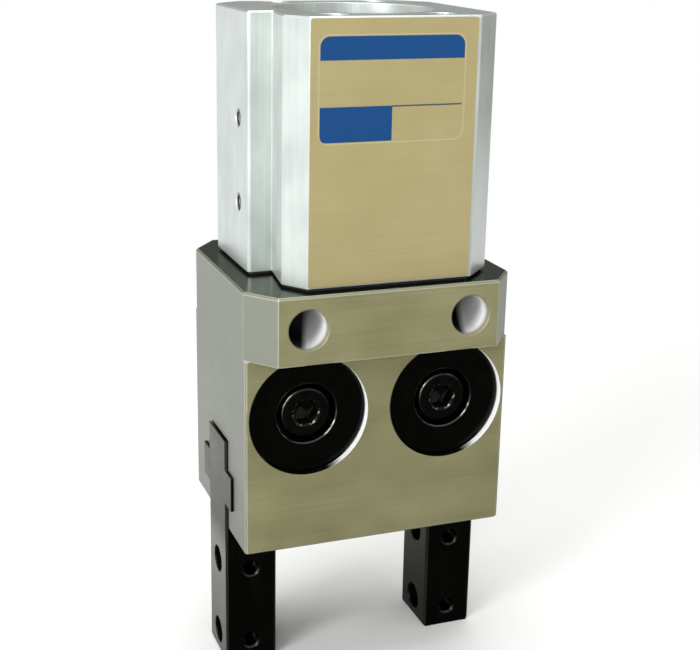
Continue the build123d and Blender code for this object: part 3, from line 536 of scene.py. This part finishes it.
# foot is the thread's end in mm; forward lays the screw along -Y with its head in front
def socketScrew(s, foot, forward):
    angle = np.linspace(0, 2 * np.pi, s["columns"], endpoint=False)
    circle = np.ones(s["columns"])
    top, half, flats, core = s["length"] + s["headHeight"], s["head"] / 2, s["socket"] / 2, s["thread"] / 2
    hexagon = flats / np.cos(angle % (np.pi / 3) - np.pi / 6)
    floor = top - s["deep"]
    rows = [(0.8 * flats * circle, floor - 0.15), (hexagon, floor), (hexagon, top - 0.3)]
    rows += [(s["mouth"] * flats * circle, top)]
    rows += [((half - s["round"] * (1 - np.sin(b))) * circle, top - s["round"] * (1 - np.cos(b)))
             for b in np.linspace(0, np.pi / 2, 7)]
    knurl = half - s["knurlDepth"] * wave(angle * s["knurls"] / (2 * np.pi))
    rows += [(knurl, top - s["round"] - 0.3), (knurl, s["length"] + 0.8)]
    rows += [((half - 0.05) * circle, s["length"] + 0.5), ((half - 0.35) * circle, s["length"])]
    rows += [(core * circle, s["length"] - 0.01), (core * circle, s["threadLength"] + 0.1)]
    for height in np.arange(s["threadLength"], 1.0, -s["pitch"] / 6):
        dip = s["coreDepth"] * s["pitch"] * wave(height / s["pitch"] + angle / (2 * np.pi))
        rows.append((core - dip, height))
    rows += [((core - 0.65 * s["pitch"]) * circle, 0.6), ((core - 0.9 * s["pitch"]) * circle, 0.0)]
    radius = np.array([r for r, _ in rows])
    height = np.array([h for _, h in rows])[:, None] * circle
    local = np.stack([radius * np.cos(angle), radius * np.sin(angle), height], -1)
    turn = np.array([[1, 0, 0], [0, 0, -1], [0, 1, 0]]) if forward else np.eye(3)
    ends = np.array([[0, 0, floor - 0.55], [0, 0, 0]])
    placed, tips = ((part @ turn.T + foot) * mm for part in (local, ends))
    return gridFaces(placed, firstEnd=tips[0], lastEnd=tips[1])


def placeScrews(name, node, s, feet, forward, finish):
    piece = gridMesh(name, [socketScrew(s, np.array(foot), forward) for foot in feet])
    piece.data.materials.append(finishes[finish])
    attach(piece, "housing")
    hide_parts(node)


for word in ("left", "right"):
    low, high = (np.array(corner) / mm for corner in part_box(word + "_cap_screw"))
    middle = (low + high) / 2
    foot = (middle[0], high[1], middle[2])
    placeScrews(word + "_cap_screw_detail", word + "_cap_screw", capScrew, [foot], True, "screw")
low, high = (np.array(corner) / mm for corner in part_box("tube_screws"))
inset = longScrew["head"] / 2
acrossX, acrossY = ((low[i] + inset, high[i] - inset) for i in (0, 1))
corners = [(x, y, low[2]) for x in acrossX for y in acrossY]
placeScrews("tube_screws_detail", "tube_screws", longScrew, corners, False, "longScrew")
print("screws made")


# Floor and studio
studio = {"floor": "#F4F4F2", "mirrored": "#56564F", "near": 0.16, "far": 0.42, "radius": 6.0, "soft": 0.45,
          "front": (0.06, -0.2, 0.0), "frontNear": 0.2, "frontFar": 0.36,
          # Place, aim, size in metres and power in watts
          "lamps": [((-0.85, -0.55, 0.72), (0, 0, 0.1), 0.45, 5.5),
                    ((-0.5, -1.05, 0.42), (0, 0, 0.09), 0.4, 3.0),
                    ((0.0, 0.1, 1.2), (0, 0, 0.1), 0.9, 9.5),
                    ((-0.99, -0.5, 0.28), (0, 0, 0.09), 0.24, 3.0)]}


def studioFloor(s):
    angle = np.linspace(0, 2 * np.pi, 96, endpoint=False)
    radius = np.array([0.1, 0.3, 1.0, s["radius"]])[:, None]
    points = np.stack([radius * np.cos(angle), radius * np.sin(angle), 0 * radius * angle], -1)
    floor = gridMesh("studio_floor", [gridFaces(points, firstEnd=(0, 0, 0))])
    made, t = newMaterial("pale_studio_floor")
    place = add(t, "TexCoord")
    away = add(t, "VectorMath", {"operation": "LENGTH"}, i0=(place, "Object"))
    fade = add(t, "MapRange", {"interpolation_type": "SMOOTHSTEP"}, Value=(away, "Value"),
               From_Min=s["near"], From_Max=s["far"])
    ray = add(t, "LightPath")
    seen = add(t, "Math", {"operation": "MAXIMUM"}, i0=(ray, "Is Camera Ray"),
               i1=(ray, "Is Transmission Ray"))
    clear = add(t, "Math", {"operation": "MULTIPLY"}, i0=(fade, 0), i1=(seen, 0))
    # Reflections see a darker floor close in front of the object
    ahead = add(t, "VectorMath", {"operation": "DISTANCE"}, i0=(place, "Object"), i1=s["front"])
    past = add(t, "MapRange", {"interpolation_type": "SMOOTHSTEP"}, Value=(ahead, "Value"),
               From_Min=s["frontNear"], From_Max=s["frontFar"])
    gloss = add(t, "Math", {"operation": "MULTIPLY"}, i0=(past, 0), i1=(ray, "Is Glossy Ray"))
    share = add(t, "Math", {"operation": "MAXIMUM"}, i0=(clear, 0), i1=(gloss, 0))
    tint = add(t, "Mix", {"data_type": "RGBA"}, i0=(ray, "Is Glossy Ray"), i6=colour(s["floor"]),
               i7=colour(s["mirrored"]))
    paper = add(t, "BsdfPrincipled", None, Base_Color=(tint, 2), Roughness=0.9, Specular_IOR_Level=0.1)
    white = add(t, "Emission", None, Color=(1, 1, 1, 1), Strength=1.0)
    mixed = add(t, "MixShader", None, i0=(share, 0), i1=(paper, 0), i2=(white, 0))
    add(t, "OutputMaterial", None, Surface=(mixed, 0))
    floor.data.materials.append(made)


def studioLight(s):
    world = bpy.data.worlds.new("white_studio")
    world.use_nodes = True
    bpy.context.scene.world = world
    t = world.node_tree
    t.nodes.clear()
    ray = add(t, "LightPath")
    seen = add(t, "Math", {"operation": "MAXIMUM"}, i0=(ray, "Is Camera Ray"), i1=(ray, "Is Glossy Ray"))
    also = add(t, "Math", {"operation": "MAXIMUM"}, i0=(seen, 0), i1=(ray, "Is Transmission Ray"))
    level = add(t, "MapRange", None, Value=(also, 0), To_Min=s["soft"], To_Max=1.0)
    light = add(t, "Background", None, Color=(1, 1, 1, 1), Strength=(level, 0))
    add(t, "OutputWorld", None, Surface=(light, 0))
    for number, (place, aim, size, power) in enumerate(s["lamps"]):
        data = bpy.data.lights.new(f"softbox_{number}", "AREA")
        data.shape, data.size, data.energy = "SQUARE", size, power
        lamp = bpy.data.objects.new(f"softbox_{number}", data)
        turn = (Vector(aim) - Vector(place)).to_track_quat("-Z", "Y").to_matrix().to_4x4()
        lamp.matrix_world = Matrix.Translation(place) @ turn
        bpy.context.scene.collection.objects.link(lamp)
        lamp.visible_camera = False


# Grey cards that only reflections see, as a photographer stands them beside a bright metal part
cards = {
    "grey_card_right": {"tone": "#A6A69E", "corners": [(0.7, -0.5, 0.0), (0.7, 0.7, 0.0), (0.7, -0.5, 0.5),
                                                       (0.7, 0.7, 0.5)]},
    "grey_card_behind": {"tone": "#868680", "corners": [(-0.8, 1.3, 0.2), (1.6, 1.3, 0.2), (-0.8, 1.3, 1.3),
                                                        (1.6, 1.3, 1.3)]},
}


def greyCard(name, c):
    points = np.array(c["corners"]).reshape(2, 2, 3)
    card = gridMesh(name, [gridFaces(points, joined=False)])
    made, t = newMaterial(name + "_paper")
    glow = add(t, "Emission", None, Color=colour(c["tone"]), Strength=1.0)
    add(t, "OutputMaterial", None, Surface=(glow, 0))
    card.data.materials.append(made)
    card.visible_camera = card.visible_diffuse = card.visible_shadow = card.visible_transmission = False


studioFloor(studio)
studioLight(studio)
for name, card in cards.items():
    greyCard(name, card)
bpy.context.scene.view_settings.view_transform = "Standard"
print("floor and lights set")
